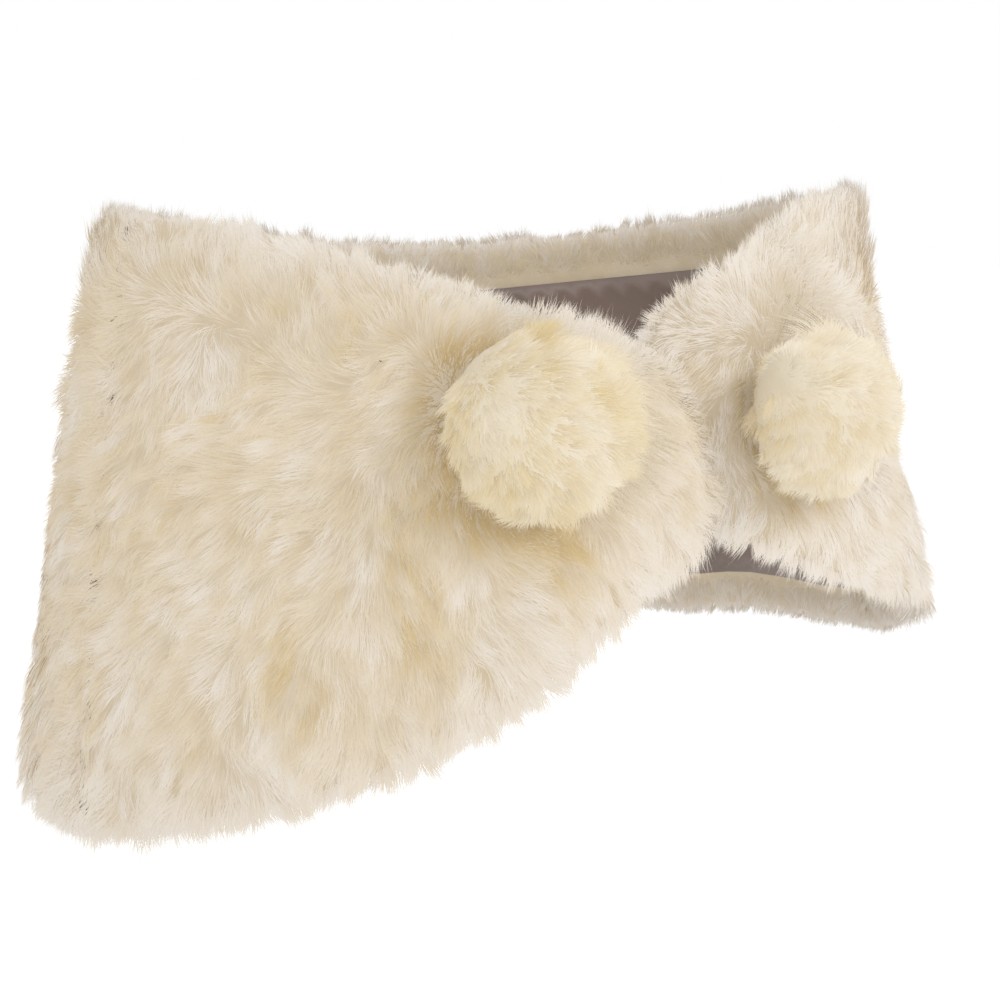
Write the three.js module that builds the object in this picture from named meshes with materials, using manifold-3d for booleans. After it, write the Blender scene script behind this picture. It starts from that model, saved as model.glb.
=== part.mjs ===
// Long-haired fur shoulder wrap, worn off the shoulders, with the right front lapped over the left
// and a round fur pompom on each front. Millimetres, +Z up. +X is the wearer's left and -Y the front.
// The origin lies midway between the shoulders, at shoulder height.
import * as THREE from 'three';
import { mergeVertices } from 'three/addons/utils/BufferGeometryUtils.js';
import Module from 'manifold-3d';

const wasm = await Module();
wasm.setup();

// Driving dimensions
const SEAM_GAP = 0.3;            // between pieces that are sewn or lie together
const LINING_THICKNESS = 1.2;    // satin with its interlining
const ROWS_DOWN = 11;            // steps down the wall between its two rounded edges
const ROUNDING_STEPS = 3;        // steps round each edge of the fur
const FRONT_STEP = 11;           // between columns along a front
const BACK_STEP = 18;            // between columns along the back
const LINING_MARGIN_COLUMNS = 4; // columns of fur turned in beside the lining at a front end
const END_ROUNDING = 11;         // radius of the fur round a front end

// Middle of the fur wall round the body, from the right front's end to the left front's end:
// points [x, y, z] on the top edge, the middle and the hem, and the thickness of pelt and pile
const WALL = 23;
const section = (place, top, middle, hem, wall = WALL) => ({ place, top, middle, hem, wall });
const SECTIONS = [
  section('right front end', [18, -127, -84], [24, -144, -120], [18, -147, -150], 20),
  section('right lap', [1, -121, -65], [2, -146, -118], [5, -150, -166]),
  section('right of the lap', [-29, -118, -55], [-29, -149, -116], [-31, -155, -179]),
  section('right bust', [-73, -107, -42], [-81, -150, -120], [-85, -158, -212]),
  section('front of the right arm', [-137, -72, -18], [-155, -104, -132], [-162, -130, -247]),
  section('outer right arm', [-196, -12, 0], [-224, -28, -140], [-246, -42, -281]),
  section('back of the right arm', [-181, 52, -4], [-213, 55, -142], [-234, 76, -287]),
  section('right shoulder blade', [-95, 98, -16], [-105, 108, -148], [-115, 130, -292]),
  section('centre back', [0, 104, -24], [0, 116, -150], [0, 138, -292]),
  section('left shoulder blade', [100, 96, -20], [112, 104, -145], [120, 124, -287]),
  section('back of the left arm', [180, 48, -8], [207, 46, -140], [226, 64, -279]),
  section('outer left arm', [208, -26, 5], [216, -42, -134], [241, -60, -262]),
  section('front of the left arm', [173, -78, 7], [171, -110, -114], [190, -134, -222]),
  section('left bust', [102, -104, -2], [100, -148, -104], [105, -158, -190]),
  section('left of the lap', [55, -112, -28], [53, -145, -96], [53, -150, -167], 22),
  section('left lap', [26, -100, -50], [21, -126, -100], [19, -131, -150], 12),
  section('left front end', [10, -98, -84], [-2, -123, -104], [-1, -129, -142], 10),
];
const RIGHT_SEAM = 'outer right arm';
const LEFT_SEAM = 'outer left arm';

// Round pompoms, sewn down on the fur. x and z: middle in the front view; radius and depth: half
// sizes; stand: widest ring above the fur's face; turn: place of its tuck, in radians from the top
const POMPOMS = [
  { side: 'right', x: -77, z: -98, radius: 42, depth: 33, stand: 10, turn: -0.42 },
  { side: 'left', x: 72, z: -102, radius: 41, depth: 33, stand: 10, turn: 0.3 },
];
const POMPOM_BACK = 24;                          // from its widest ring back into the fur under it
const TUCK = { depth: 0.09, width: 0.22 };       // share of the radius, and radians round the rim
const LOBES = { count: 3, depth: 0.025 };        // the ball isn't quite round
const DISH = { radius: 56, slope: 37, depth: 6 };  // the fur is pressed in round a pompom

// Soft ridges and troughs in the fur beside each pompom, in the front view.
// from and to: mm [away from the lap, up] from the pompom's middle; rise is negative in a trough
const CREASES = [
  { from: [30, 38], to: [85, 24], width: 11, rise: 5 },
  { from: [44, 18], to: [84, 6], width: 10, rise: -6 },
  { from: [46, -8], to: [120, -26], width: 12, rise: -3 },
  { from: [42, -32], to: [110, -72], width: 15, rise: 3 },
  { from: [24, -50], to: [70, -105], width: 14, rise: -3 },
];

// Soft flutes in which the wall falls to the hem. past: in sections beyond the named place;
// width: in sections; out: mm at the hem, negative inwards; above: where on the wall it starts
const FLUTES = [
  { place: 'front of the right arm', past: 0.1, width: 0.34, out: 5, above: 0.35 },
  { place: 'outer right arm', past: -0.2, width: 0.22, out: -4, above: 0.3 },
  { place: 'back of the right arm', past: 0.3, width: 0.22, out: -6, above: 0.3 },
  { place: 'right shoulder blade', past: -0.1, width: 0.28, out: 7, above: 0.2 },
  { place: 'right shoulder blade', past: 0.55, width: 0.2, out: -6, above: 0.35 },
  { place: 'centre back', past: 0.15, width: 0.26, out: 5, above: 0.4 },
  { place: 'left shoulder blade', past: -0.35, width: 0.18, out: -5, above: 0.25 },
  { place: 'left shoulder blade', past: 0.25, width: 0.28, out: 7, above: 0.3 },
  { place: 'back of the left arm', past: -0.2, width: 0.2, out: -6, above: 0.35 },
  { place: 'outer left arm', past: 0.45, width: 0.3, out: -5, above: 0.3 },
];

const FUR = new THREE.MeshStandardMaterial({ color: 0xe6dcc6, roughness: 0.95, metalness: 0 });
const POMPOM_FUR = new THREE.MeshStandardMaterial({ color: 0xefe6d0, roughness: 0.95, metalness: 0 });
const SATIN = new THREE.MeshStandardMaterial({ color: 0xb9a99c, roughness: 0.45, metalness: 0 });

// Curves through the sections along the top edge, the middle and the hem
const LAST = SECTIONS.length - 1;
const STEPS_PER_SECTION = 40;
const edgeCurve = (edge) => {
  const points = SECTIONS.map((row) => new THREE.Vector3(...row[edge]));
  const curve = new THREE.CatmullRomCurve3(points, false, 'centripetal');
  curve.arcLengthDivisions = STEPS_PER_SECTION * LAST;
  return curve;
};
const topCurve = edgeCurve('top');
const middleCurve = edgeCurve('middle');
const hemCurve = edgeCurve('hem');
const lengths = middleCurve.getLengths();

// Distance along the middle of the wrap at which a section lies
const sectionIndex = (place) => SECTIONS.findIndex((row) => row.place === place);
const distanceOf = (place) => lengths[sectionIndex(place) * STEPS_PER_SECTION];

const wallAt = (t) => {
  const at = t * LAST;
  const low = Math.min(Math.floor(at), LAST - 1);
  return THREE.MathUtils.lerp(SECTIONS[low].wall, SECTIONS[low + 1].wall, at - low);
};

const smooth = (x) => {
  const k = THREE.MathUtils.clamp(x, 0, 1);
  return k * k * (3 - 2 * k);
};

// Plain form of the wall's middle: t along the wrap, v from the top, 0, to the hem, 1
const plainPoint = (t, v) => {
  const point = topCurve.getPoint(t).multiplyScalar((1 - v) * (1 - 2 * v));
  point.addScaledVector(middleCurve.getPoint(t), 4 * v * (1 - v));
  return point.addScaledVector(hemCurve.getPoint(t), v * (2 * v - 1));
};

// Unit directions over a surface: along the wrap and down it
const STEP_ALONG = 0.002;
const STEP_DOWN = 0.01;
const alongOn = (surface, t, v) => {
  const before = surface(Math.max(t - STEP_ALONG, 0), v);
  return surface(Math.min(t + STEP_ALONG, 1), v).sub(before).normalize();
};
const downOn = (surface, t, v) => surface(t, v + STEP_DOWN).sub(surface(t, v - STEP_DOWN)).normalize();

// The sections run from the right front round the back, so along crossed with down points outwards
const outwardOn = (surface, t, v) => alongOn(surface, t, v).cross(downOn(surface, t, v)).normalize();

// How far the flutes carry the wall out from its plain form
const fluteRise = (t, v) => {
  let rise = 0;
  for (const { place, past, width, out, above } of FLUTES) {
    const away = (t * LAST - sectionIndex(place) - past) / width;
    rise += out * Math.exp(-away * away) * smooth((v - above) / (1 - above));
  }
  return rise;
};

// Middle of the wall with its flutes, and the unit directions on it
const middlePoint = (t, v) => {
  const out = outwardOn(plainPoint, t, v);
  return plainPoint(t, v).addScaledVector(out, fluteRise(t, v));
};
const tangentAlong = (t, v) => alongOn(middlePoint, t, v);
const outward = (t, v) => outwardOn(middlePoint, t, v);

// Rise of one crease at a place beside its pompom, given in the terms of the table
const creaseRise = ({ from, to, width, rise }, place) => {
  const start = new THREE.Vector2(...from);
  const run = new THREE.Vector2(...to).sub(start);
  const offset = place.clone().sub(start);
  const reach = THREE.MathUtils.clamp(offset.dot(run) / run.lengthSq(), 0, 1);
  const away = offset.addScaledVector(run, -reach).length() / width;
  return rise * Math.exp(-away * away);
};

// How far the fur's face stands out from its plain form at a point on the fronts
const relief = (point) => {
  if (point.y > 0) return 0;
  let rise = 0;
  for (const pompom of POMPOMS) {
    const across = (point.x - pompom.x) * Math.sign(pompom.x);
    const place = new THREE.Vector2(across, point.z - pompom.z);
    rise -= DISH.depth * smooth((DISH.radius - place.length()) / DISH.slope);
    for (const crease of CREASES) rise += creaseRise(crease, place);
  }
  return rise;
};

// Rounding of an edge: distance from the edge and share of the thickness, from the edge inwards
const roundingStep = (k, radius) => {
  const angle = (Math.PI / 2) * k / ROUNDING_STEPS;
  return { distance: radius * (1 - Math.cos(angle)), share: Math.sin(angle) };
};

// Columns of a panel: where each lies along the wrap and its share of the thickness
const panelColumns = ({ from, to, roundFrom, roundTo, step }) => {
  const columns = [];
  const addColumn = (distance, share) => {
    columns.push({ t: middleCurve.getUtoTmapping(0, distance), share });
  };
  const start = roundFrom ? from + END_ROUNDING : from;
  const stop = roundTo ? to - END_ROUNDING : to;
  if (roundFrom) {
    for (let k = 0; k < ROUNDING_STEPS; k++) {
      const { distance, share } = roundingStep(k, END_ROUNDING);
      addColumn(from + distance, share);
    }
  }
  const count = Math.round((stop - start) / step);
  for (let k = 0; k <= count; k++) addColumn(start + (stop - start) * k / count, 1);
  if (roundTo) {
    for (let k = ROUNDING_STEPS - 1; k >= 0; k--) {
      const { distance, share } = roundingStep(k, END_ROUNDING);
      addColumn(to - distance, share);
    }
  }
  return columns;
};

// Rows of a section from the top edge to the hem
const sectionRows = (t) => {
  const radius = wallAt(t) / 2;
  const halfway = middlePoint(t, 0.5);
  const length = middlePoint(t, 0).distanceTo(halfway) + halfway.distanceTo(middlePoint(t, 1));
  const inset = radius / length;
  const rows = [];
  for (let k = 0; k < ROUNDING_STEPS; k++) {
    const { distance, share } = roundingStep(k, radius);
    rows.push({ v: distance / length, share });
  }
  for (let k = 0; k <= ROWS_DOWN; k++) {
    rows.push({ v: inset + (1 - 2 * inset) * k / ROWS_DOWN, share: 1 });
  }
  for (let k = ROUNDING_STEPS - 1; k >= 0; k--) {
    const { distance, share } = roundingStep(k, radius);
    rows.push({ v: 1 - distance / length, share });
  }
  return rows;
};

// Closed solid from a grid of outer points and a grid of inner points, [column][row].
// Where the two grids share an edge, merging the vertices closes it. Elsewhere a strip does.
const solidFromGrids = (outer, inner) => {
  const positions = [];
  const triangle = (a, b, c) => positions.push(...a.toArray(), ...b.toArray(), ...c.toArray());
  const quad = (a, b, c, d) => {
    triangle(a, b, c);
    triangle(a, c, d);
  };
  const lastColumn = outer.length - 1;
  const lastRow = outer[0].length - 1;
  for (let i = 0; i < lastColumn; i++) {
    for (let j = 0; j < lastRow; j++) {
      quad(outer[i][j], outer[i + 1][j], outer[i + 1][j + 1], outer[i][j + 1]);
      quad(inner[i][j], inner[i][j + 1], inner[i + 1][j + 1], inner[i + 1][j]);
    }
    quad(outer[i][0], inner[i][0], inner[i + 1][0], outer[i + 1][0]);
    quad(outer[i][lastRow], outer[i + 1][lastRow], inner[i + 1][lastRow], inner[i][lastRow]);
  }
  for (let j = 0; j < lastRow; j++) {
    quad(outer[0][j], outer[0][j + 1], inner[0][j + 1], inner[0][j]);
    quad(outer[lastColumn][j], inner[lastColumn][j], inner[lastColumn][j + 1], outer[lastColumn][j + 1]);
  }
  return cleanGeometry(positions);
};

// Shared vertices are merged, and triangles that close to a line are dropped
const MERGE_WITHIN = 0.002;
const cleanGeometry = (positions) => {
  const loose = new THREE.BufferGeometry();
  loose.setAttribute('position', new THREE.Float32BufferAttribute(positions, 3));
  const geometry = mergeVertices(loose, MERGE_WITHIN);
  const index = [];
  const source = geometry.index.array;
  for (let k = 0; k < source.length; k += 3) {
    const [a, b, c] = source.slice(k, k + 3);
    if (a !== b && b !== c && c !== a) index.push(a, b, c);
  }
  geometry.setIndex(index);
  return geometry;
};

// Fur panels: the stretch of the wrap that each covers, and which of its ends is rounded
const rightSeam = distanceOf(RIGHT_SEAM);
const leftSeam = distanceOf(LEFT_SEAM);
const wrapEnd = lengths[lengths.length - 1];
const PANELS = {
  right_front: { from: 0, to: rightSeam, roundFrom: true, roundTo: false, step: FRONT_STEP },
  back_panel: { from: rightSeam, to: leftSeam, roundFrom: false, roundTo: false, step: BACK_STEP },
  left_front: { from: leftSeam, to: wrapEnd, roundFrom: false, roundTo: true, step: FRONT_STEP },
};

// Grids of one panel's outer and inner face. At a side seam the last column steps back by half of
// the seam's gap.
const panelGrids = (name) => {
  const panel = PANELS[name];
  const columns = panelColumns(panel);
  const outer = [];
  const inner = [];
  columns.forEach(({ t, share: endShare }, i) => {
    const atFrom = i === 0 && !panel.roundFrom;
    const atTo = i === columns.length - 1 && !panel.roundTo;
    const outerColumn = [];
    const innerColumn = [];
    for (const { v, share } of sectionRows(t)) {
      const middle = middlePoint(t, v);
      const normal = outward(t, v);
      if (atFrom) middle.addScaledVector(tangentAlong(t, v), SEAM_GAP / 2);
      if (atTo) middle.addScaledVector(tangentAlong(t, v), -SEAM_GAP / 2);
      const half = (wallAt(t) / 2) * share * endShare;
      const face = middle.clone().addScaledVector(normal, half);
      face.addScaledVector(normal, relief(face) * share * endShare);
      outerColumn.push(face);
      innerColumn.push(middle.clone().addScaledVector(normal, -half));
    }
    outer.push(outerColumn);
    inner.push(innerColumn);
  });
  return { outer, inner };
};

const panelGeometry = (name) => {
  const { outer, inner } = panelGrids(name);
  return solidFromGrids(outer, inner);
};

// The lining lies on the inner face of its panel, inside the fur that is turned in at the edges
const liningGeometry = (name) => {
  const panel = PANELS[name];
  const { inner } = panelGrids(name);
  const columns = panelColumns(panel);
  const first = panel.roundFrom ? LINING_MARGIN_COLUMNS : 0;
  const last = columns.length - 1 - (panel.roundTo ? LINING_MARGIN_COLUMNS : 0);
  const near = [];
  const far = [];
  for (let i = first; i <= last; i++) {
    const { t } = columns[i];
    const rows = sectionRows(t);
    const nearColumn = [];
    const farColumn = [];
    for (let j = ROUNDING_STEPS + 1; j < ROUNDING_STEPS + ROWS_DOWN; j++) {
      const normal = outward(t, rows[j].v);
      nearColumn.push(inner[i][j].clone().addScaledVector(normal, -SEAM_GAP));
      farColumn.push(inner[i][j].clone().addScaledVector(normal, -SEAM_GAP - LINING_THICKNESS));
    }
    near.push(nearColumn);
    far.push(farColumn);
  }
  return solidFromGrids(near, far);
};

const toManifold = (geometry) => new wasm.Manifold(new wasm.Mesh({
  numProp: 3,
  vertProperties: new Float32Array(geometry.attributes.position.array),
  triVerts: new Uint32Array(geometry.index.array),
}));

// The space that a neighbour leaves free: the solid with its surface moved out by the gap
const spaceAround = (geometry) => {
  const grown = geometry.clone();
  grown.computeVertexNormals();
  const { position, normal } = grown.attributes;
  for (let k = 0; k < position.count; k++) {
    const point = new THREE.Vector3().fromBufferAttribute(position, k);
    point.addScaledVector(new THREE.Vector3().fromBufferAttribute(normal, k), SEAM_GAP);
    position.setXYZ(k, point.x, point.y, point.z);
  }
  return toManifold(grown);
};

const fromManifold = (solid) => {
  const mesh = solid.getMesh();
  const positions = [];
  for (const vertex of mesh.triVerts) {
    for (let k = 0; k < 3; k++) positions.push(mesh.vertProperties[vertex * mesh.numProp + k]);
  }
  return cleanGeometry(positions);
};

// Where a pompom sits on its panel: above the wall's nearest middle point in the front view
const SEAT_STEP = 2;
const pompomSeat = ({ side, x, z }) => {
  const { from, to } = PANELS[`${side}_front`];
  let best = { miss: Infinity };
  for (let distance = from; distance < to; distance += SEAT_STEP) {
    const t = middleCurve.getUtoTmapping(0, distance);
    for (let v = 0; v <= 1; v += STEP_DOWN) {
      const point = middlePoint(t, v);
      const miss = Math.hypot(point.x - x, point.z - z);
      if (miss < best.miss) best = { miss, t, v, point };
    }
  }
  const normal = outward(best.t, best.v);
  return { face: best.point.addScaledVector(normal, wallAt(best.t) / 2), normal };
};

const unindexed = (geometry) => Array.from(geometry.toNonIndexed().attributes.position.array);

// A soft ball, wider than deep, with a small tuck at its top where the pelt is drawn together
const BALL_SEGMENTS = { round: 26, over: 16 };
const pompomGeometry = (pompom) => {
  const { face, normal } = pompomSeat(pompom);
  const ball = new THREE.SphereGeometry(1, BALL_SEGMENTS.round, BALL_SEGMENTS.over);
  ball.deleteAttribute('normal');
  ball.deleteAttribute('uv');
  const across = new THREE.Vector3(0, 0, 1).cross(normal).normalize();
  const up = normal.clone().cross(across).normalize();
  const place = ball.attributes.position;
  for (let k = 0; k < place.count; k++) {
    const direction = new THREE.Vector3().fromBufferAttribute(place, k);
    const round = Math.atan2(direction.y, direction.x);
    const rim = Math.hypot(direction.x, direction.y);
    const fromTuck = (round - Math.PI / 2 - pompom.turn) / TUCK.width;
    const tuck = TUCK.depth * rim * Math.exp(-fromTuck * fromTuck);
    const swell = 1 + LOBES.depth * rim * Math.sin(LOBES.count * round + 1) - tuck;
    const point = face.clone();
    point.addScaledVector(across, direction.x * pompom.radius * swell);
    point.addScaledVector(up, direction.y * pompom.radius * swell);
    const depth = direction.z > 0 ? pompom.depth : POMPOM_BACK;
    point.addScaledVector(normal, direction.z * depth + pompom.stand);
    place.setXYZ(k, point.x, point.y, point.z);
  }
  return cleanGeometry(unindexed(ball));
};

const wrap = new THREE.Group();
const addMesh = (name, geometry, material) => {
  const mesh = new THREE.Mesh(geometry, material);
  mesh.name = name;
  wrap.add(mesh);
};

// The right front and its lining lie on the left front, which is pressed in under them
const rightFront = panelGeometry('right_front');
const rightLining = liningGeometry('right_front');
const leftFront = toManifold(panelGeometry('left_front'))
  .subtract(spaceAround(rightFront))
  .subtract(spaceAround(rightLining));

addMesh('right_front', rightFront, FUR);
addMesh('left_front', fromManifold(leftFront), FUR);
addMesh('back_panel', panelGeometry('back_panel'), FUR);
addMesh('lining_right', rightLining, SATIN);
addMesh('lining_left', liningGeometry('left_front'), SATIN);
addMesh('lining_back', liningGeometry('back_panel'), SATIN);

// Each pompom is flattened where it sits on its front
for (const pompom of POMPOMS) {
  const front = panelGeometry(`${pompom.side}_front`);
  const ball = toManifold(pompomGeometry(pompom)).subtract(spaceAround(front));
  addMesh(`${pompom.side}_pompom`, fromManifold(ball), POMPOM_FUR);
}

export default wrap;
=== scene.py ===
import math

import bpy
import numpy as np
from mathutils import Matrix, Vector
from mathutils.bvhtree import BVHTree
from mathutils.kdtree import KDTree


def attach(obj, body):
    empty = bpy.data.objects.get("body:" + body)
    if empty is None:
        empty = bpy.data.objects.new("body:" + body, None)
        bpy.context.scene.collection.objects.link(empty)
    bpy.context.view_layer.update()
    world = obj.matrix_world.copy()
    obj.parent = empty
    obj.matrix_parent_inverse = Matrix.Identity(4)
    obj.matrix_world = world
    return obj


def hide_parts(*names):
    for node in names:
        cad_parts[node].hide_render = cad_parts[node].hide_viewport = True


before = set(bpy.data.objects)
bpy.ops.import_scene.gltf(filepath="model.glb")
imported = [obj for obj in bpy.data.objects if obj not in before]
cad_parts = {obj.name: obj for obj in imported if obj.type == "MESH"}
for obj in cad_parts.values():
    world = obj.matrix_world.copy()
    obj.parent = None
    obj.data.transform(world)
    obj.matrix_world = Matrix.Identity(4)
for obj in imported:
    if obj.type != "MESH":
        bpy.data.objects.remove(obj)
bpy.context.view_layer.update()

# The back of the wrap: long-haired ivory pelts, sewn edge to edge and carried round the back from
# arm to arm. The leather lies inside, and its dense under-fur carries long guard hair, which is
# combed up to the top edge and down to the hem.
MM = 0.001
BODY_MIDDLE_Y = -10 * MM
SIDE_SEAMS = (-85.0, 81.0)         # degrees round the body, from the front to the wearer's left
SEAM_REACH = 7.0                   # degrees beside a seam in which its cut face is left bare
LENGTH_PER_DEGREE = 4 * MM         # round the body

UNDER_FUR_DEPTH = 6.5 * MM           # below the tips of the fur
UNDER_FUR_VOXEL = 4 * MM
SMOOTH_ROUNDS = 3
SEAM_SQUARED = 4.5 * MM            # beside a seam, where the pelt's edge is cut square
SEAM_TAKEN_IN = 1.5 * MM           # past the cut edge, and below the neighbour's under-fur
LEATHER_INSET = 1 * MM             # under the lining
THICKEST = 60 * MM
ROOT_DEPTH = 8.5 * MM
HAIR_LENGTH = 18 * MM
HAIR_WIDTH = 0.33 * MM
EDGE_BAND = 0.16                   # share of the height that is combed up to the top edge
CREASE_PAINTED_SHADE = 1.0                # painted shade: more honey, and darker hair, in the crease beside a pompom
CREASE_REACH = 8 * MM
JOIN_REACH = 18 * MM               # beside a pompom on the lap's side, where the hair rises to it
SEAM_FUR = 6 * MM                  # beside a seam, where the hair crosses it
LINING_FUR = 7 * MM                # beside the lining, where the hair stands up over its edge
LOOSE_BELOW = 0.22                 # strength of combing under which the hair stands up

# The root colours are the fur's yellower roots, made darker still as painted shade for the depth of the fur, since
# the hairs shade nothing themselves.
IVORY_TIP = (0.69, 0.637, 0.575)
IVORY_ROOT = (0.62, 0.55, 0.46)
HONEY_TIP = (0.57, 0.445, 0.245)
HONEY_ROOT = (0.44, 0.32, 0.16)


def welded(name):
    """Points, triangles and smooth outward normals of a CAD node, as arrays."""
    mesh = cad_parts[name].data
    places = np.empty(len(mesh.vertices) * 3)
    mesh.vertices.foreach_get("co", places)
    corners = np.empty(len(mesh.loops), np.int64)
    mesh.loops.foreach_get("vertex_index", corners)
    points, index = np.unique(places.reshape(-1, 3).round(6), axis=0, return_inverse=True)
    faces = index.ravel()[corners].reshape(-1, 3)
    faces = faces[(faces[:, 0] != faces[:, 1]) & (faces[:, 1] != faces[:, 2]) & (faces[:, 2] != faces[:, 0])]
    return points, faces


def unit(vectors):
    return vectors / np.maximum(np.linalg.norm(vectors, axis=-1, keepdims=True), 1e-12)


def face_crosses(points, faces):
    """Normals of triangles, twice their areas long."""
    first, second, third = (points[faces[:, k]] for k in range(3))
    return np.cross(second - first, third - first)


def point_normals(points, faces):
    crosses = face_crosses(points, faces)
    normals = np.zeros_like(points)
    for k in range(3):
        np.add.at(normals, faces[:, k], crosses)
    return unit(normals)


def round_body(points):
    """Degrees round the body from the middle of the front, growing to the wearer's left."""
    return np.degrees(np.arctan2(points[:, 0], BODY_MIDDLE_Y - points[:, 1]))


def along_body(points):
    """Unit directions round the body, to the wearer's left at the front."""
    angle = np.radians(round_body(points))
    return np.stack([np.cos(angle), np.sin(angle), np.zeros_like(angle)], 1)


def along_seams(points, vectors):
    """Vectors without their part round the body at points beside a seam, and where those points are."""
    beside = np.zeros(len(points), bool)
    for seam in SIDE_SEAMS:
        beside |= np.abs(round_body(points) - seam) < SEAM_REACH
    along = along_body(points)
    part = along * (vectors * along).sum(1, keepdims=True)
    return np.where(beside[:, None], vectors - part, vectors), beside


def at_seam(points, directions):
    """True where a surface is the cut end of a panel at a side seam."""
    places = round_body(points)
    near = np.zeros(len(points), bool)
    for seam in SIDE_SEAMS:
        near |= np.abs(places - seam) < SEAM_REACH
    return near & (np.abs((directions * along_body(points)).sum(1)) > 0.7)


def tree_of(*names):
    """One search tree over some CAD nodes."""
    corners, triangles = [], []
    for name in names:
        points, faces = welded(name)
        triangles.extend((faces + len(corners)).tolist())
        corners.extend(points.tolist())
    return BVHTree.FromPolygons(corners, triangles)


def ripples(points, size, rng, waves=7):
    """Smooth noise, mostly between -1 and 1, with bumps about size across."""
    total = np.zeros(len(points))
    for _ in range(waves):
        heading = unit(rng.normal(size=3))
        pace = 2 * np.pi / size * rng.uniform(0.7, 1.4)
        total += np.sin(points @ heading * pace + rng.uniform(0, 2 * np.pi))
    return total / math.sqrt(waves)


def mesh_piece(name, points, corners, starts, material):
    """A smooth mesh object from arrays, riding on the root body."""
    mesh = bpy.data.meshes.new(name)
    mesh.vertices.add(len(points))
    mesh.vertices.foreach_set("co", points.ravel())
    mesh.loops.add(len(corners))
    mesh.loops.foreach_set("vertex_index", corners)
    mesh.polygons.add(len(starts))
    mesh.polygons.foreach_set("loop_start", starts)
    mesh.polygons.foreach_set("use_smooth", np.ones(len(starts), bool))
    mesh.update(calc_edges=True)
    mesh.materials.append(material)
    piece = bpy.data.objects.new(name, mesh)
    bpy.context.scene.collection.objects.link(piece)
    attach(piece, "root")
    return piece


def wall_depth(wall_points, wall_faces, points, normals):
    """How thick the wall is under each point, measured inwards, as if it went on beyond a seam."""
    ends = at_seam(wall_points[wall_faces].mean(1), unit(face_crosses(wall_points, wall_faces)))
    tree = BVHTree.FromPolygons(wall_points.tolist(), wall_faces[~ends].tolist())
    depths = np.empty(len(points))
    ways = -unit(along_seams(points, normals)[0])
    for k, (point, way) in enumerate(zip(points, ways)):
        inwards = Vector(way)
        hit = tree.ray_cast(Vector(point) + inwards * 0.5 * MM, inwards)
        depths[k] = hit[3] if hit[0] is not None else THICKEST
    return depths


def nearness(tree, points):
    """Distance of each point from a tree's surface."""
    return np.array([tree.find_nearest(Vector(point))[3] for point in points])


lining_tree = tree_of("lining_back", "lining_left", "lining_right")


def under_fur(panel, seed, material):
    """The pelt with its dense under-fur, a shell on the panel's form a little below the tips."""
    points, faces = welded(panel)
    rough = bpy.data.meshes.new(panel + "_form")
    rough.from_pydata(points.tolist(), [], faces.tolist())
    former = bpy.data.objects.new(panel + "_form", rough)
    bpy.context.scene.collection.objects.link(former)
    remesh = former.modifiers.new("even", "REMESH")
    remesh.mode = "VOXEL"
    remesh.voxel_size = UNDER_FUR_VOXEL
    even = bpy.data.meshes.new_from_object(former.evaluated_get(bpy.context.evaluated_depsgraph_get()))
    bpy.data.objects.remove(former)
    places = np.empty(len(even.vertices) * 3)
    even.vertices.foreach_get("co", places)
    places = places.reshape(-1, 3)
    even.calc_loop_triangles()
    triangles = np.empty(len(even.loop_triangles) * 3, np.int64)
    even.loop_triangles.foreach_get("vertices", triangles)
    normals = point_normals(places, triangles.reshape(-1, 3))
    cut_ends = at_seam(places, normals)
    level, beside = along_seams(places, normals)
    normals = unit(level)
    inset = np.minimum(UNDER_FUR_DEPTH, 0.35 * wall_depth(points, faces, places, normals))
    lined = nearness(lining_tree, places) < 3.5 * MM
    inset[lined] = LEATHER_INSET
    rng = np.random.default_rng(seed)
    inset += np.where(lined | beside, 0, 0.9 * MM) * ripples(places, 9 * MM, rng)
    shift = -normals * inset[:, None]
    ends = np.empty(len(even.edges) * 2, np.int64)
    even.edges.foreach_get("vertices", ends)
    first, second = ends.reshape(-1, 2).T
    known = np.where(cut_ends, 0.0, 1.0)[:, None]
    for _ in range(SMOOTH_ROUNDS):
        total = shift * known
        amount = known.copy()
        np.add.at(total, first, (shift * known)[second])
        np.add.at(total, second, (shift * known)[first])
        np.add.at(amount, first, known[second])
        np.add.at(amount, second, known[first])
        shift = np.where(amount > 0, total / np.maximum(amount, 1), shift)
        known = np.minimum(amount, 1)
    places = places + along_seams(places, shift)[0]
    cut_faces = faces[at_seam(points[faces].mean(1), unit(face_crosses(points, faces)))]
    cut_tree = BVHTree.FromPolygons(points.tolist(), cut_faces.tolist())
    in_seam = np.zeros(len(places), bool)
    for k, place in enumerate(places):
        nearest = cut_tree.find_nearest(Vector(place), SEAM_SQUARED)
        if nearest[0] is not None:
            in_seam[k] = True
            places[k] = nearest[0] + (nearest[1] - Vector(normals[k])) * SEAM_TAKEN_IN
    corners = np.empty(len(even.loops), np.int32)
    even.loops.foreach_get("vertex_index", corners)
    starts = np.empty(len(even.polygons), np.int32)
    even.polygons.foreach_get("loop_start", starts)
    shell = mesh_piece("pelt_" + panel, places, corners, starts, material)
    quads = corners.reshape(-1, 4)
    quads = quads[~in_seam[quads].all(1)]
    shading = point_normals(places, np.concatenate([quads[:, [0, 1, 2]], quads[:, [0, 2, 3]]]))
    hidden = np.linalg.norm(shading, axis=1) < 0.5
    shading[hidden] = normals[hidden]
    shell.data.normals_split_custom_set_from_vertices(shading)
    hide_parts(panel)
    return shell


def new_material(name):
    material = bpy.data.materials.new(name)
    material.use_nodes = True
    nodes = material.node_tree.nodes
    return material, nodes, material.node_tree.links, nodes["Principled BSDF"]


def ramp_node(nodes, stops):
    """A colour ramp with (place, colour) stops."""
    ramp = nodes.new("ShaderNodeValToRGB")
    elements = ramp.color_ramp.elements
    while len(elements) < len(stops):
        elements.new(0.5)
    for element, (place, colour) in zip(elements, stops):
        element.position = place
        element.color = (*colour, 1)
    return ramp


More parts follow.
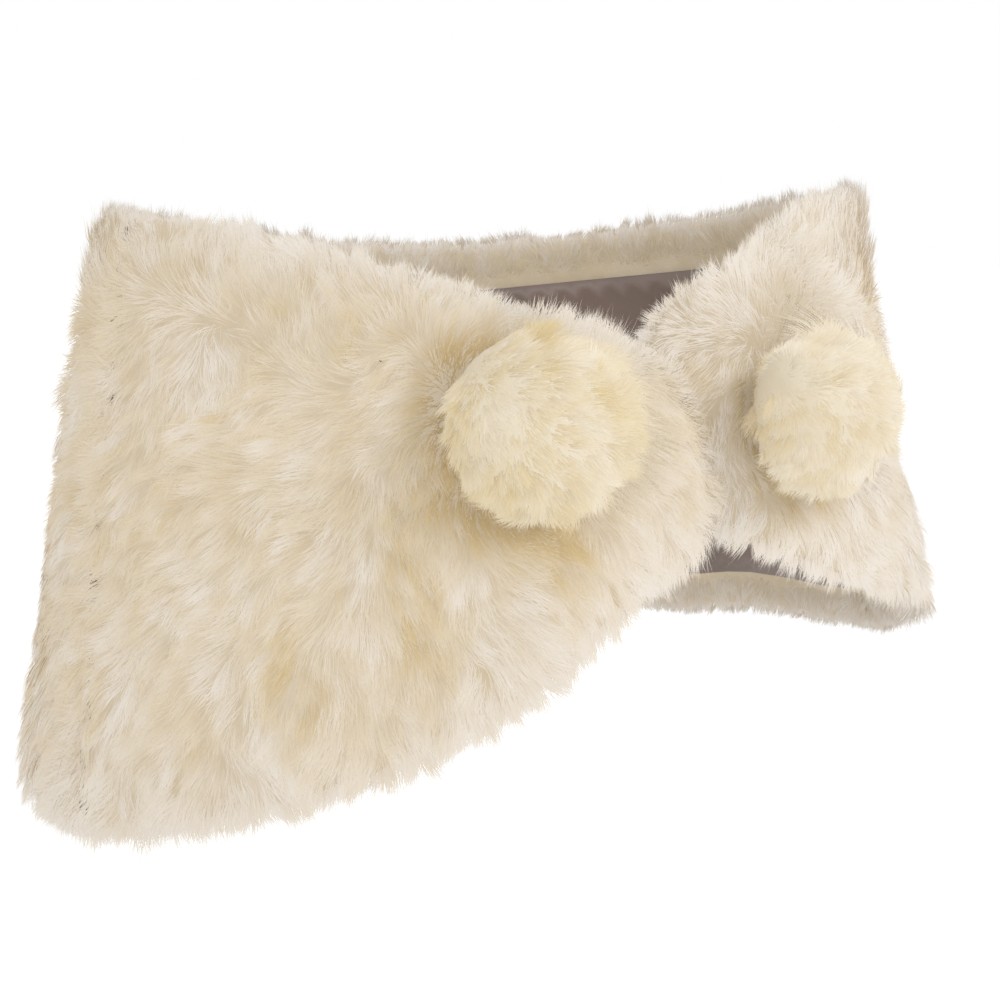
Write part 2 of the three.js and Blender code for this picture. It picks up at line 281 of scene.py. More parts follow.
def hair_material(name, ivory, honey):
    """Hair from root to tip up the map's height, and from ivory to honey across its width. The darker roots are
    partly painted shade for the depth of the fur.
    """
    material, nodes, links, shader = new_material(name)
    place = nodes.new("ShaderNodeUVMap")
    place.uv_map = "OFBake"
    split = nodes.new("ShaderNodeSeparateXYZ")
    links.new(place.outputs["UV"], split.inputs["Vector"])
    root, tip = ivory
    plain = ramp_node(nodes, [(0.15, root), (0.75, tip)])
    root, tip = honey
    warm = ramp_node(nodes, [(0.15, root), (0.85, tip)])
    links.new(split.outputs["Y"], plain.inputs["Fac"])
    links.new(split.outputs["Y"], warm.inputs["Fac"])
    mix = nodes.new("ShaderNodeMix")
    mix.data_type = "RGBA"
    links.new(split.outputs["X"], mix.inputs["Factor"])
    links.new(plain.outputs["Color"], mix.inputs["A"])
    links.new(warm.outputs["Color"], mix.inputs["B"])
    links.new(mix.outputs["Result"], shader.inputs["Base Color"])
    shader.inputs["Roughness"].default_value = 0.62
    shader.inputs["Specular IOR Level"].default_value = 0.12
    shader.inputs["Sheen Weight"].default_value = 0.08
    shader.inputs["Sheen Roughness"].default_value = 0.4
    return material


def under_fur_material(name, light, deep):
    """Dense woolly under-fur: soft mottling and a fine fluffy bump."""
    material, nodes, links, shader = new_material(name)
    place = nodes.new("ShaderNodeTexCoord")
    mottle = nodes.new("ShaderNodeTexNoise")
    mottle.inputs["Scale"].default_value = 55
    mottle.inputs["Detail"].default_value = 6
    links.new(place.outputs["Object"], mottle.inputs["Vector"])
    tint = ramp_node(nodes, [(0.3, deep), (0.7, light)])
    links.new(mottle.outputs["Fac"], tint.inputs["Fac"])
    links.new(tint.outputs["Color"], shader.inputs["Base Color"])
    fluff = nodes.new("ShaderNodeTexNoise")
    fluff.inputs["Scale"].default_value = 900
    fluff.inputs["Detail"].default_value = 4
    links.new(place.outputs["Object"], fluff.inputs["Vector"])
    bump = nodes.new("ShaderNodeBump")
    bump.inputs["Strength"].default_value = 0.35
    bump.inputs["Distance"].default_value = 0.0008
    links.new(fluff.outputs["Fac"], bump.inputs["Height"])
    links.new(bump.outputs["Normal"], shader.inputs["Normal"])
    shader.inputs["Roughness"].default_value = 0.95
    shader.inputs["Specular IOR Level"].default_value = 0.1
    return material


def height_share(panel_points, points):
    """Share of the panel's height at each point, 0 at the top edge and 1 at the hem."""
    places = round_body(panel_points)
    stops = np.arange(-180, 181, 4.0)
    tops, hems = [], []
    for stop in stops:
        away = np.abs((places - stop + 180) % 360 - 180)
        near = panel_points[away < max(5.0, away.min() + 2), 2]
        tops.append(near.max())
        hems.append(near.min())
    here = round_body(points)
    top = np.interp(here, stops, tops)
    hem = np.interp(here, stops, hems)
    return (top - points[:, 2]) / (top - hem), top - hem


def spot(away, below, reach):
    """1 at a spot and fading round it within reach, given in mm."""
    return np.exp(-(away * away + below * below) / (2 * (reach * MM) ** 2))


def stroke(away, below, lean, reach):
    """The share of one stroke of the comb in the way that hair lies, along the body and down."""
    turn = math.radians(lean)
    return spot(away, below, reach)[:, None] * np.array([math.sin(turn), math.cos(turn)])


def combed(points, share, height, strokes):
    """The way that hair lies, as parts along the body and down, and how well combed it is."""
    here = round_body(points)
    upwards = share < EDGE_BAND
    heading = np.stack([np.zeros(len(points)), np.where(upwards, -0.03, 0.03)], 1)
    for place, down, lean, reach in strokes:
        away = ((here - place + 180) % 360 - 180) * LENGTH_PER_DEGREE
        heading += stroke(away, (share - down) * height, lean, reach)
    return unit(heading), np.linalg.norm(heading, axis=1)


def scatter(points, faces, count, rng):
    """Random places on triangles, even by area, with smooth normals."""
    crosses = face_crosses(points, faces)
    keep = ~at_seam(points[faces].mean(1), unit(crosses))
    faces = faces[keep]
    normals = point_normals(points, faces)
    areas = np.linalg.norm(crosses[keep], axis=1)
    for seam in SIDE_SEAMS:
        off_seam = (round_body(points[faces].mean(1)) - seam) * LENGTH_PER_DEGREE
        areas *= 1 + np.exp(-(off_seam / SEAM_FUR) ** 2)
    chosen = rng.choice(len(faces), count, p=areas / areas.sum())
    first, second = rng.random(count), rng.random(count)
    over = first + second > 1
    first[over], second[over] = 1 - first[over], 1 - second[over]
    shares = np.stack([1 - first - second, first, second], 1)[:, :, None]
    places = (points[faces[chosen]] * shares).sum(1)
    return places, unit((normals[faces[chosen]] * shares).sum(1))


def covered(tree, points, normals, reach):
    """True where something of the tree lies over a point within reach."""
    found = np.zeros(len(points), bool)
    for k, (point, normal) in enumerate(zip(points, normals)):
        out = Vector(normal)
        found[k] = tree.ray_cast(Vector(point) - out * 2 * MM, out, reach)[0] is not None
    return found


def nearest_of(centres, points):
    """Index of the nearest centre to each point."""
    tree = KDTree(len(centres))
    for k, centre in enumerate(centres):
        tree.insert(centre, k)
    tree.balance()
    return np.array([tree.find(point)[1] for point in points])


HAIR_STATIONS = np.array([0.2, 0.64, 1.0])
HAIR_WIDTHS = np.array([0.9, 1.0, 0.0])


def tufted(roots, normals, headings, lengths, rises, widths, tones, fades, loose, rng, facing, tuft=40, gather=0.34):
    """Hair paths from roots. Neighbours share a tuft: they lean alike and draw together at the tips."""
    count = len(roots)
    centres = rng.choice(count, max(count // tuft, 1), replace=False)
    member = nearest_of(roots[centres], roots)
    lock_centres = centres[::14]
    lock = nearest_of(roots[lock_centres], roots[centres])[member]
    lean = rng.normal(0, 0.20, len(centres))[member] + rng.normal(0, 0.20, len(lock_centres))[lock]
    lean += rng.normal(0, 0.13, count) + rng.normal(0, 1.4, count) * loose
    sideways = np.cross(normals, headings)
    flow = headings * np.cos(lean)[:, None] + sideways * np.sin(lean)[:, None]
    longer = 1 + rng.normal(0, 0.13, len(centres))[member] + rng.normal(0, 0.08, count)
    reach = lengths * np.clip(longer, 0.55, 1.5)
    lift = rises + rng.normal(0, 0.06, len(centres))[member] + rng.normal(0, 0.05, count)
    away = roots - roots[centres][member]
    tone = tones + rng.normal(0, 0.08, len(centres))[member] + rng.normal(0, 0.06, count)
    first_way = unit(normals + 0.8 * flow)
    last_way = unit(normals * np.clip(lift, 0.0, 2.0)[:, None] + flow)
    bend = roots + first_way * (0.42 * reach)[:, None]
    tip = bend + last_way * (0.58 * reach)[:, None]
    curl = rng.normal(0, 0.05, len(centres))[member] + rng.normal(0, 0.03, count)
    draw = gather * rng.uniform(0.6, 1.2, len(centres))[member]
    roll = rng.normal(0, 0.42, count)
    stations, shades = [], []
    for s, width in zip(HAIR_STATIONS, HAIR_WIDTHS):
        path = (1 - s) ** 2 * roots + 2 * s * (1 - s) * bend + s * s * tip
        path = path - away * (np.clip(draw, 0, 0.95) * s ** 1.4)[:, None]
        path = path + sideways * (curl * reach * math.sin(math.pi * s))[:, None]
        tangent = unit((1 - s) * (bend - roots) + s * (tip - bend))
        flat = unit(np.cross(tangent, facing))
        across = flat * np.cos(roll)[:, None] + np.cross(tangent, flat) * np.sin(roll)[:, None]
        half = across * (widths * width / 2)[:, None]
        stations.append((path - half, path + half))
        shades.append(unit(np.cross(across, tangent) + 0.65 * facing))
    return {"stations": stations, "shades": shades, "tone": np.clip(tone, 0.02, 0.98), "member": member,
            "fade": fades, "centres": roots[centres]}


def fur_piece(name, fur, chosen, material):
    """A mesh of narrow tapering hairs, a four-sided face and a three-sided tip each."""
    stations = [(left[chosen], right[chosen]) for left, right in fur["stations"]]
    shades = [shade[chosen] for shade in fur["shades"]]
    tone = fur["tone"][chosen]
    count = len(tone)
    rows = []
    for left, right in stations[:2]:
        rows.extend([left, right])
    rows.append(stations[2][0])
    points = np.stack(rows, 1).reshape(-1, 3)
    pattern = np.array([0, 1, 3, 2, 2, 3, 4])
    corners = (np.arange(count)[:, None] * 5 + pattern).ravel().astype(np.int32)
    starts = (np.arange(count)[:, None] * 7 + np.array([0, 4])).ravel().astype(np.int32)
    piece = mesh_piece(name, points, corners, starts, material)
    spread = 0.004
    along = HAIR_STATIONS[[0, 0, 1, 1, 2]]
    across = np.array([-1, 1, -1, 1, 0]) * spread
    # A fade keeps more of a hair in its darker root colours; it carries the painted crease shade and the honey of
    # the warm places.
    up = 0.03 + 0.94 * along * (1 - fur["fade"][chosen])[:, None]
    place = np.stack([tone[:, None] + across, up], 2)
    layer = piece.data.uv_layers.new(name="OFBake")
    layer.data.foreach_set("uv", place[:, pattern].ravel())
    normals = np.stack([shades[0], shades[0], shades[1], shades[1], shades[2]], 1)
    piece.data.normals_split_custom_set_from_vertices(normals.reshape(-1, 3))
    piece.visible_shadow = False
    piece.visible_diffuse = False
    return piece


def crease_shares(tree, middle, places, reach, join_reach):
    """Closeness to a surface, from 1 to 0: on the wearer's right of it, and on the wearer's left."""
    away = unit(places - middle)
    lean = (away * along_body(places)).sum(1) * 0.85 + away[:, 2] * 0.35
    gap = nearness(tree, places)
    crease = np.exp(-(gap / reach) ** 2) * np.clip(0.4 - lean, 0, 1)
    return crease, np.exp(-(gap / join_reach) ** 2) * np.clip(1.5 * lean, 0, 1)


def panel_fur(panel, count, strokes, covers, seed, warm_places=(), short_places=(), beside=(), base_tone=0.43):
    """Guard hair of one panel, on its outer face and on the bands turned in beside the lining."""
    rng = np.random.default_rng(seed)
    points, faces = welded(panel)
    places, normals = scatter(points, faces, int(count * 2.2), rng)
    from_lining = nearness(lining_tree, places)
    bare = from_lining < 0.6 * MM
    for cover in covers:
        bare |= covered(cover, places, normals, 4 * MM)
    kept = np.flatnonzero(~bare)[:count]
    places, normals, from_lining = places[kept], normals[kept], from_lining[kept]
    share, height = height_share(points, places)
    inside = (normals[:, :2] * places[:, :2]).sum(1) < -0.02 * np.abs(places[:, :2]).max()
    lies, strength = combed(places, share, height, strokes)
    lies[inside] = np.stack([np.zeros(inside.sum()), np.where(share[inside] < 0.5, -1, 1)], 1)
    strength[inside] = 1
    loose = np.exp(-(strength / LOOSE_BELOW) ** 2)
    by_lining = inside * np.exp(-(from_lining / LINING_FUR) ** 2)
    loose = np.maximum(loose, 0.8 * by_lining)
    for seam in SIDE_SEAMS:
        off_seam = (round_body(places) - seam) * LENGTH_PER_DEGREE
        loose = np.maximum(loose, 0.55 * np.exp(-(off_seam / SEAM_FUR) ** 2))
    down = np.array([0, 0, -1.0])
    headings = along_body(places) * lies[:, :1] + down * lies[:, 1:]
    headings = headings - normals * 0.9 * (headings * normals).sum(1, keepdims=True)
    swirl = 0.32 * ripples(places, 60 * MM, rng) + 0.2 * ripples(places, 24 * MM, rng)
    side = np.cross(normals, headings)
    headings = headings * np.cos(swirl)[:, None] + side * np.sin(swirl)[:, None]
    lengths = np.full(len(places), HAIR_LENGTH)
    edge = np.minimum(share, 1 - share) * height
    lengths *= 0.62 + 0.38 * np.clip(edge / (22 * MM), 0, 1)
    lengths[inside] *= 0.7
    lengths *= 1 - 0.35 * by_lining
    tones = base_tone + 0.16 * ripples(places, 45 * MM, rng) + 0.13 * ripples(places, 16 * MM, rng)
    pale = np.maximum(1 - share * height / (32 * MM), 1 - (1 - share) * height / (66 * MM))
    tones *= 1 - 0.95 * np.clip(pale, 0, 1)
    warm, deep = np.zeros((2, len(places)))
    for place, at, reach, warmth in warm_places:
        away = ((round_body(places) - place + 180) % 360 - 180) * LENGTH_PER_DEGREE
        warm += warmth * spot(away, (share - at) * height, reach)
    for place, at, reach, shorter in short_places:
        away = ((round_body(places) - place + 180) % 360 - 180) * LENGTH_PER_DEGREE
        lengths *= 1 - shorter * spot(away, (share - at) * height, reach)
    for tree_beside, middle in beside:
        crease, joined = crease_shares(tree_beside, middle, places, CREASE_REACH, JOIN_REACH)
        # Painted shade: in the crease beside a pompom the hair turns honey and fades to its darker root colours.
        deep += CREASE_PAINTED_SHADE * crease
        tones -= 0.15 * joined
        lengths *= (1 - 0.4 * crease) * (1 + 0.8 * joined)
        loose = np.maximum(loose, 0.5 * joined)
    tones += warm + deep
    fades = np.clip(0.3 * warm + 0.7 * deep, 0, 0.75)
    rises = 0.10 + 0.9 * loose + 0.07 * ripples(places, 16 * MM, rng)
    lengths *= 1 - 0.35 * loose
    widths = np.full(len(places), HAIR_WIDTH)
    stray = rng.random(len(places)) < 0.07
    lengths[stray] *= 1.25
    widths[stray] *= 0.55
    depths = np.minimum(ROOT_DEPTH, 0.42 * wall_depth(points, faces, places, normals))
    depths[inside] *= 0.95
    roots = places - normals * depths[:, None]
    lengths *= 0.55 + 0.45 * depths / ROOT_DEPTH
    outwards = unit((places - np.array([0, BODY_MIDDLE_Y, 0])) * [1, 1, 0])
    facing = unit(normals + 0.8 * outwards * np.where(inside, -1, 1)[:, None])
    fur = tufted(roots, normals, headings, lengths, rises, widths, tones, fades, loose, rng, facing)
    fur["round"] = round_body(fur["centres"])[fur["member"]]
    return fur


fur_hair = hair_material("ivory_guard_hair", (IVORY_ROOT, IVORY_TIP), (HONEY_ROOT, HONEY_TIP))
fur_under = under_fur_material("woolly_under_fur", (0.56, 0.48, 0.37), (0.50, 0.41, 0.28))

# Strokes of the comb: degrees round the body, share of the height, lean (0 is down, 90 to the
# wearer's left, 180 up) and reach in mm
BACK_STROKES = [
    (95, 0.06, 178, 26), (125, 0.07, -170, 26), (155, 0.06, 170, 26), (185, 0.07, -172, 26),
    (215, 0.06, 172, 26), (245, 0.07, -175, 26), (268, 0.06, 178, 26),
    (95, 0.3, 15, 30), (120, 0.28, -25, 30), (150, 0.32, 20, 30), (180, 0.28, -18, 30),
    (210, 0.31, 22, 30), (240, 0.28, -15, 30), (265, 0.3, -50, 26), (274, 0.45, -40, 26),
    (100, 0.6, -12, 34), (130, 0.6, 14, 34), (165, 0.62, -10, 34), (200, 0.6, 12, 34),
    (235, 0.6, -14, 34), (262, 0.62, -25, 30),
    (100, 0.9, 6, 34), (140, 0.9, -8, 34), (180, 0.9, 8, 34), (220, 0.9, -6, 34), (260, 0.9, -8, 30),
]
BACK_PARTINGS = [(100, 0.17, 14, 0.2), (125, 0.16, 14, 0.25), (150, 0.17, 14, 0.25), (180, 0.16, 14, 0.25),
                 (210, 0.17, 14, 0.25), (240, 0.16, 14, 0.25), (265, 0.17, 14, 0.2)]
BACK_SHORT = [(258, 0.6, 30, 0.3), (268, 0.72, 20, 0.2), (264, 0.0, 20, 0.55)]
BACK_HAIRS = 124000
back_pelt = under_fur("back_panel", 11, fur_under)
back_fur = panel_fur("back_panel", BACK_HAIRS, BACK_STROKES, [], 12, warm_places=BACK_PARTINGS,
                     short_places=BACK_SHORT)
back_round = back_fur["round"] % 360
for name, low, high in (("fur_back_left", 0, 146), ("fur_back_middle", 146, 211), ("fur_back_right", 211, 360)):
    piece = fur_piece(name, back_fur, (back_round >= low) & (back_round < high), fur_hair)

# The left front: one pelt from the left side seam to the lap, where it lies under the right
# front. Its fur is denser and curlier beside the lap.
LEFT_STROKES = [
    (15, 0.11, -130, 16), (24, 0.04, -160, 18), (49, 0.15, 170, 24), (70, 0.1, 178, 26),
    (15, 0.3, -10, 16), (15, 0.56, 24, 18), (17, 0.83, 20, 20), (31, 0.83, 20, 24),
    (45, 0.3, 60, 18), (50, 0.55, 40, 22), (50, 0.85, 12, 24), (70, 0.35, 30, 26),
    (70, 0.65, 14, 28), (75, 0.9, 4, 28),
]
LEFT_WARM = [(50, 0.28, 20, 0.2), (22, 0.5, 14, 0.2), (26, 0.3, 10, 0.4)]
LEFT_SHORT = [(15, 0.3, 22, 0.3), (18, 0.6, 18, 0.2)]
LEFT_HAIRS = 54000
pompom_tree = tree_of("right_pompom", "left_pompom")


def pompom_beside(side):
    points, faces = welded(side + "_pompom")
    return tree_of(side + "_pompom"), (points.min(0) + points.max(0)) / 2


left_pelt = under_fur("left_front", 21, fur_under)
left_fur = panel_fur("left_front", LEFT_HAIRS, LEFT_STROKES, [pompom_tree, tree_of("right_front")], 22,
                     warm_places=LEFT_WARM, short_places=LEFT_SHORT, beside=[pompom_beside("left")], base_tone=0.15)
left_piece = fur_piece("fur_left_front", left_fur, slice(None), fur_hair)

# The right front: the pelt that laps over the left one, rounded off at its end. The hair parts
# beside the pompom and fans out from it over the arm, and down to the long fringe at the hem.
RIGHT_STROKES = [
    (-81, 0.05, -175, 22), (-69, 0.08, -168, 20), (-57, 0.07, -167, 18), (-42, 0.06, -175, 16),
    (-18, 0.04, 160, 16), (-80, 0.18, -20, 18), (-71, 0.22, 30, 12),
    (-83, 0.3, -45, 18), (-84, 0.45, -42, 22), (-78, 0.62, -60, 24),
    (-86, 0.77, -25, 26), (-67, 0.32, -70, 18), (-57, 0.35, -76, 18), (-55, 0.46, -32, 20),
    (-69, 0.46, -58, 22), (-74, 0.6, -44, 24), (-64, 0.62, -22, 24), (-46, 0.46, 0, 18),
    (-46, 0.61, 7, 20), (-39, 0.64, 18, 20), (-28, 0.63, 28, 20), (-26, 0.85, 19, 22),
    (-76, 0.87, -10, 26), (-61, 0.89, 20, 24), (-51, 0.82, 4, 22), (-41, 0.85, 14, 22),
    (-3, 0.4, 34, 16), (-1, 0.72, 18, 18), (-19, 0.66, 45, 18), (-48, 0.22, -60, 12),
]
RIGHT_WARM = [(-69, 0.2, 12, 0.14), (-62, 0.17, 12, 0.16), (-55, 0.15, 12, 0.2), (-47, 0.13, 10, 0.25),
              (-40, 0.3, 14, 0.45), (-38, 0.42, 13, 0.45), (-28, 0.55, 14, 0.4), (-20, 0.56, 14, 0.3),
              (-46, 0.46, 14, 0.2), (-78, 0.35, 18, 0.15), (-48, 0.72, 30, 0.16), (-4, 0.5, 26, 0.02),
              (-72, 0.1, 34, -0.12)]
RIGHT_SHORT = [(-62, 0.17, 14, 0.25), (-50, 0.15, 12, 0.25), (-84, 0.0, 18, 0.55)]
RIGHT_HAIRS = 64000
right_pelt = under_fur("right_front", 31, fur_under)
right_fur = panel_fur("right_front", RIGHT_HAIRS, RIGHT_STROKES, [pompom_tree], 32,
                      warm_places=RIGHT_WARM, short_places=RIGHT_SHORT, beside=[pompom_beside("right")])
right_piece = fur_piece("fur_right_front", right_fur, slice(None), fur_hair)

# The two pompoms: balls of the same fur, drawn up round a soft core and sewn down on the fronts.
# Their hair stands out round the rim and lies down towards the lap over the face.
POMPOM_ROOT_DEPTH = 8.5 * MM
POMPOM_HAIR_LENGTH = 12 * MM
POMPOM_RIM = 43 * MM
POMPOM_CORE_SHARE = 0.88
POMPOM_SEWN_BEHIND = 16 * MM       # the place that it is drawn towards, behind its middle
POMPOM_CREASE_REACH = 11 * MM
POMPOM_JOIN_REACH = 30 * MM
POMPOM_HAIRS = 20000
POMPOM_VOXEL = 4 * MM
POMPOM_TONES = {"right": 0.57, "left": 0.3}
POMPOM_STROKES = [
    (-40, 0, 10, 13), (-30, -26, -5, 14), (0, -40, 20, 16), (28, -28, 50, 18), (0, 0, 50, 22),
    (-16, -14, 30, 16), (38, 0, 80, 16), (28, 26, 105, 18), (2, 42, 130, 12), (-28, 30, 95, 12),
    (-12, 14, 60, 12), (12, 18, 75, 14),
]
# Painted shade on the pompoms: spots of honey and darker hair at a tuck on top of the right pompom, and on the left
# pompom's side towards the wearer's right.
POMPOM_PAINTED_SHADE = {"right": [(-4, 38, 4, 0.25), (-6, 30, 4, 0.25)],
               "left": [(-30, 0, 12, 0.3), (-24, 16, 10, 0.25)]}
pompom_hair = hair_material("pompom_hair", (IVORY_ROOT, (0.72, 0.66, 0.56)), (HONEY_ROOT, (0.62, 0.50, 0.28)))
pompom_under = under_fur_material("pompom_under_fur", (0.68, 0.61, 0.49), (0.62, 0.54, 0.40))
for side, seed in (("right", 41), ("left", 51)):
    points, faces = welded(side + "_pompom")
    rng = np.random.default_rng(seed)
    middle = (points.min(0) + points.max(0)) / 2
    form = bpy.data.meshes.new("pompom_form")
    form.from_pydata(points.tolist(), [], faces.tolist())
    former = bpy.data.objects.new("pompom_form", form)
    bpy.context.scene.collection.objects.link(former)
    remesh = former.modifiers.new("even", "REMESH")
    remesh.mode = "VOXEL"
    remesh.voxel_size = POMPOM_VOXEL
    even = bpy.data.meshes.new_from_object(former.evaluated_get(bpy.context.evaluated_depsgraph_get()))
    bpy.data.objects.remove(former)
    core_points = np.empty(len(even.vertices) * 3)
    even.vertices.foreach_get("co", core_points)
    core_points = core_points.reshape(-1, 3)
    outwards = unit((middle - np.array([0, BODY_MIDDLE_Y, 0])) * [1, 1, 0])
    sewn = middle - outwards * POMPOM_SEWN_BEHIND
    core_points = sewn + (core_points - sewn) * POMPOM_CORE_SHARE
    corners = np.empty(len(even.loops), np.int32)
    even.loops.foreach_get("vertex_index", corners)
    starts = np.empty(len(even.polygons), np.int32)
    even.polygons.foreach_get("loop_start", starts)
    core = mesh_piece(side + "_pompom_core", core_points, corners, starts, pompom_under)
    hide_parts(side + "_pompom")
    places, normals = scatter(points, faces, int(POMPOM_HAIRS * 1.8), rng)
    front_tree = tree_of(side + "_front")
    bare = covered(front_tree, places, normals, 2.5 * MM)
    places, normals = places[~bare][:POMPOM_HAIRS], normals[~bare][:POMPOM_HAIRS]
    off_axis = places - middle
    off_axis = off_axis - outwards * (off_axis @ outwards)[:, None]
    rim = np.clip(np.linalg.norm(off_axis, axis=1) / POMPOM_RIM, 0, 1) ** 5
    sideways = along_body(middle[None])[0]
    lies = np.full((len(places), 2), 0.02)
    for right, up, lean, reach in POMPOM_STROKES:
        lies += stroke(off_axis @ sideways - right * MM, up * MM - off_axis[:, 2], lean, reach)
    loose = np.exp(-(np.linalg.norm(lies, axis=1) / LOOSE_BELOW) ** 2)
    lies = unit(lies)
    headings = sideways * lies[:, :1] + np.array([0, 0, -1.0]) * lies[:, 1:]
    crease, joined = crease_shares(front_tree, middle, places, POMPOM_CREASE_REACH, POMPOM_JOIN_REACH)
    rim_way = unit(off_axis)
    follows = rim * np.clip(0.6 + (rim_way * headings).sum(1), 0, 1)
    swept = rim_way * 0.5 - outwards
    round_rim = np.array([0, 0, -1.0]) + outwards * 0.2
    headings = headings * (1 - follows)[:, None] + swept * follows[:, None] + round_rim * (rim - follows)[:, None]
    headings = headings - outwards * (0.4 * joined)[:, None]
    headings = unit(headings - normals * 0.85 * (headings * normals).sum(1, keepdims=True))
    swirl = 0.45 * ripples(places, 40 * MM, rng) + 0.25 * ripples(places, 16 * MM, rng)
    across = np.cross(normals, headings)
    headings = headings * np.cos(swirl)[:, None] + across * np.sin(swirl)[:, None]
    roots = places - normals * POMPOM_ROOT_DEPTH
    lengths = np.full(len(places), POMPOM_HAIR_LENGTH)
    rises = 0.12 + 0.35 * rim + 0.9 * loose + 0.06 * ripples(places, 12 * MM, rng)
    lengths *= (1 - 0.3 * loose) * (1 + 0.15 * ripples(places, 14 * MM, rng))
    widths = np.full(len(places), HAIR_WIDTH * 0.95)
    tones = POMPOM_TONES[side] + 0.14 * ripples(places, 30 * MM, rng) + 0.1 * ripples(places, 9 * MM, rng)
    # Painted shade: honey tone and darker hair in the crease against the front, and in the listed spots.
    warm = CREASE_PAINTED_SHADE * crease - 0.2 * joined
    lengths *= 1 + 1.8 * joined
    rises -= 0.25 * joined
    for right, up, reach, warmth in POMPOM_PAINTED_SHADE[side]:
        warm += warmth * spot(off_axis @ sideways - right * MM, up * MM - off_axis[:, 2], reach)
    tones += warm
    fades = np.clip(0.7 * warm, 0, 0.6)
    facing = unit(normals + 0.9 * outwards)
    fur = tufted(roots, normals, headings, lengths, rises, widths, tones, fades, loose, rng, facing, 30, 0.3)
    piece = fur_piece("fur_" + side + "_pompom", fur, slice(None), pompom_hair)
    piece.parent = core

# The lining: plain beige satin in three panels, slip-stitched to the fur that is turned in at
# the edges, with soft creases where it eases round the body. Its colour is painted far darker,
# as painted shade for the inside of the wrap.
CREASE_DEPTH = 0.7 * MM
CREASE_SIZE = 42 * MM
satin, nodes, links, shader = new_material("satin_with_painted_shade")
place = nodes.new("ShaderNodeTexCoord")
weave = nodes.new("ShaderNodeTexWave")
weave.inputs["Scale"].default_value = 900
weave.inputs["Distortion"].default_value = 1.2
weave.inputs["Detail"].default_value = 2
links.new(place.outputs["Object"], weave.inputs["Vector"])
tint = nodes.new("ShaderNodeTexNoise")
tint.inputs["Scale"].default_value = 30
links.new(place.outputs["Object"], tint.inputs["Vector"])
# Painted shade: dark browns for the shade inside the wrap, far darker than the beige satin itself.
shades = ramp_node(nodes, [(0.3, (0.16, 0.115, 0.095)), (0.7, (0.20, 0.145, 0.12))])
links.new(tint.outputs["Fac"], shades.inputs["Fac"])
links.new(shades.outputs["Color"], shader.inputs["Base Color"])
bump = nodes.new("ShaderNodeBump")
bump.inputs["Strength"].default_value = 0.25
bump.inputs["Distance"].default_value = 0.0002
links.new(weave.outputs["Fac"], bump.inputs["Height"])
links.new(bump.outputs["Normal"], shader.inputs["Normal"])
shader.inputs["Roughness"].default_value = 0.42
shader.inputs["Anisotropic"].default_value = 0.4
shader.inputs["Sheen Weight"].default_value = 0.2
for k, panel in enumerate(("back", "left", "right")):
    node = "lining_" + panel
    points, faces = welded(node)
    rng = np.random.default_rng(60 + k)
    form = bpy.data.meshes.new("lining_form")
    form.from_pydata(points.tolist(), [], faces.tolist())
    former = bpy.data.objects.new("lining_form", form)
    bpy.context.scene.collection.objects.link(former)
    smooth = former.modifiers.new("finer", "SUBSURF")
    smooth.levels = 1
    smooth.subdivision_type = "SIMPLE"
    fine = bpy.data.meshes.new_from_object(former.evaluated_get(bpy.context.evaluated_depsgraph_get()))
    bpy.data.objects.remove(former)
    cloth = np.empty(len(fine.vertices) * 3)
    fine.vertices.foreach_get("co", cloth)
    cloth = cloth.reshape(-1, 3)
    inwards = unit(np.array([0, BODY_MIDDLE_Y, 0]) * [0, 1, 0] - cloth * [1, 1, 0])
    cloth = cloth + inwards * (CREASE_DEPTH * (1 + ripples(cloth * [1, 1, 0.25], CREASE_SIZE, rng)))[:, None]
    corners = np.empty(len(fine.loops), np.int32)
    fine.loops.foreach_get("vertex_index", corners)
    starts = np.empty(len(fine.polygons), np.int32)
    fine.polygons.foreach_get("loop_start", starts)
    piece = mesh_piece("satin_" + node, cloth, corners, starts, satin)
    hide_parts(node)

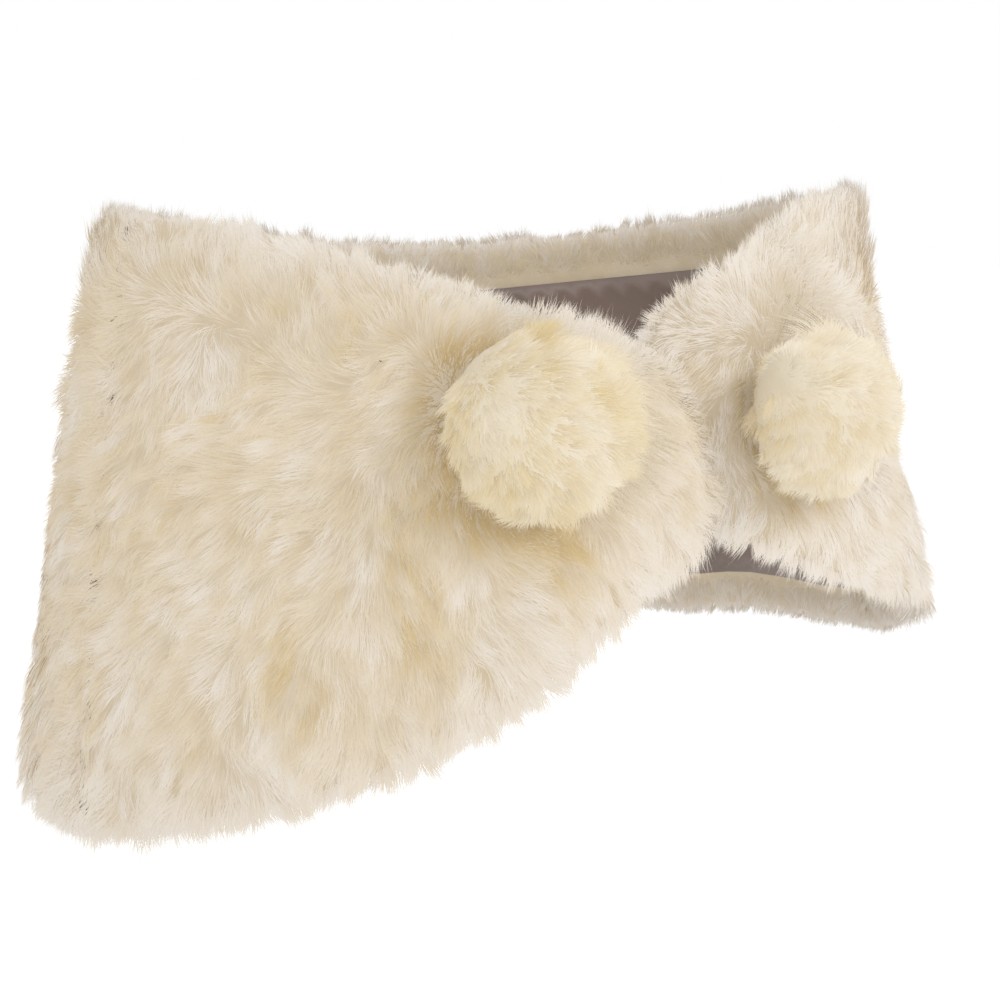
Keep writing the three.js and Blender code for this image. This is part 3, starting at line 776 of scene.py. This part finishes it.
# The studio: a pale floor well below the wrap, a large soft light from the upper right of the
# picture, soft fill all round, and the camera at the height of the shoulders.
FLOOR_DEPTH = 0.75
FLOOR_SIZE = 24.0
floor_mesh = bpy.data.meshes.new("floor")
half = FLOOR_SIZE / 2
floor_mesh.from_pydata([(-half, -half, -FLOOR_DEPTH), (half, -half, -FLOOR_DEPTH), (half, half, -FLOOR_DEPTH),
                        (-half, half, -FLOOR_DEPTH)], [], [(0, 1, 2, 3)])
floor = bpy.data.objects.new("floor", floor_mesh)
bpy.context.scene.collection.objects.link(floor)
floor_paint, nodes, links, shader = new_material("pale_floor")
shader.inputs["Base Color"].default_value = (0.93, 0.93, 0.93, 1)
shader.inputs["Roughness"].default_value = 0.9
shader.inputs["Emission Color"].default_value = (1, 1, 1, 1)
shader.inputs["Emission Strength"].default_value = 0.12
floor_mesh.materials.append(floor_paint)

world = bpy.data.worlds.new("soft_white_room")
world.use_nodes = True
world.node_tree.nodes["Background"].inputs["Color"].default_value = (1, 1, 1, 1)
world.node_tree.nodes["Background"].inputs["Strength"].default_value = 1.0
bpy.context.scene.world = world
bpy.context.scene.view_settings.view_transform = "Standard"


def soft_light(name, place, aim, size, power):
    lamp = bpy.data.lights.new(name, "AREA")
    lamp.size = size
    lamp.energy = power
    holder = bpy.data.objects.new(name, lamp)
    bpy.context.scene.collection.objects.link(holder)
    holder.location = place
    holder.rotation_euler = (Vector(aim) - Vector(place)).to_track_quat("-Z", "Y").to_euler()


soft_light("key", (0.9, -1.5, 1.1), (0, -0.05, -0.12), 0.9, 12)
soft_light("side", (-1.3, -1.2, 0.6), (-0.1, 0, -0.12), 1.2, 4)

CAMERA_PLACE = (-0.379, -0.604, 0.0)
CAMERA_AIM = (0.5187, 0.8258, -0.2215)
lens = bpy.data.cameras.new("camera")
lens.sensor_width = 36
lens.lens = 47.7
camera = bpy.data.objects.new("camera", lens)
bpy.context.scene.collection.objects.link(camera)
camera.location = CAMERA_PLACE
camera.rotation_euler = Vector(CAMERA_AIM).to_track_quat("-Z", "Y").to_euler()
bpy.context.scene.camera = camera
